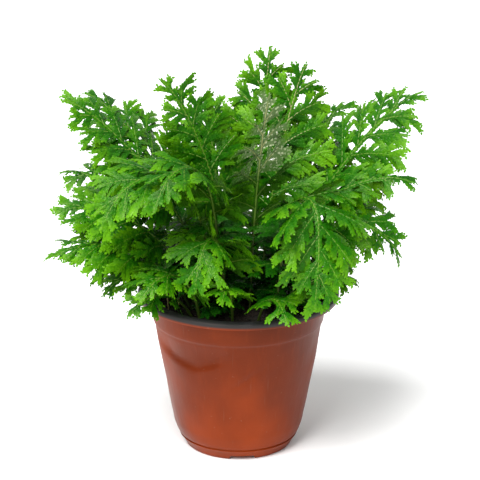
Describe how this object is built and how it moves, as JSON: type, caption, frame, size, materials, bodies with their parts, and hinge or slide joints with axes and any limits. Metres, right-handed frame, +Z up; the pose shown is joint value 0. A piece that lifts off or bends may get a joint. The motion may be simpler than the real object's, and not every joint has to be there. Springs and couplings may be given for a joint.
{
  "type": "potted spikemoss",
  "caption": "Bushy spikemoss with arched, fan-like, finely cut leafy stems, growing in a thin plastic nursery pot filled with potting mix.",
  "frame": {"origin": "on the ground, on the pot's axis, which is within a millimetre or so of the middle of the whole plant's width and depth", "axes": "+Z up along the pot's axis, -Y towards the side that shows most, +X to the right of it"},
  "size_m": [0.194, 0.152, 0.2116],
  "materials": {
    "pot": "thin thermoformed plastic, terracotta brown outside, black inside and on the rim, slightly glossy, scuffed",
    "potting_mix": "dark moist peat and bark, rough",
    "foliage": "glossy bright green scale leaves, paler beneath, straw-green stems"
  },
  "bodies": {
    "root": {"pot": "pot", "potting_mix": "potting_mix", "leafy_stem_01": "foliage", "leafy_stem_02": "foliage", "leafy_stem_03": "foliage", "leafy_stem_04": "foliage", "leafy_stem_05": "foliage", "leafy_stem_06": "foliage", "leafy_stem_07": "foliage", "leafy_stem_08": "foliage", "leafy_stem_09": "foliage", "leafy_stem_10": "foliage", "leafy_stem_11": "foliage", "leafy_stem_12": "foliage", "leafy_stem_13": "foliage", "leafy_stem_14": "foliage", "leafy_stem_15": "foliage", "leafy_stem_16": "foliage", "leafy_stem_17": "foliage", "leafy_stem_18": "foliage", "leafy_stem_19": "foliage", "leafy_stem_20": "foliage", "leafy_stem_21": "foliage", "leafy_stem_22": "foliage", "leafy_stem_23": "foliage", "leafy_stem_24": "foliage", "leafy_stem_25": "foliage", "leafy_stem_26": "foliage", "leafy_stem_27": "foliage", "leafy_stem_28": "foliage", "young_stem_01": "foliage", "young_stem_02": "foliage", "young_stem_03": "foliage", "young_stem_04": "foliage", "young_stem_05": "foliage", "young_stem_06": "foliage", "young_stem_07": "foliage", "young_stem_08": "foliage", "young_stem_09": "foliage", "young_stem_10": "foliage", "young_stem_11": "foliage"}
  },
  "joints": []
}
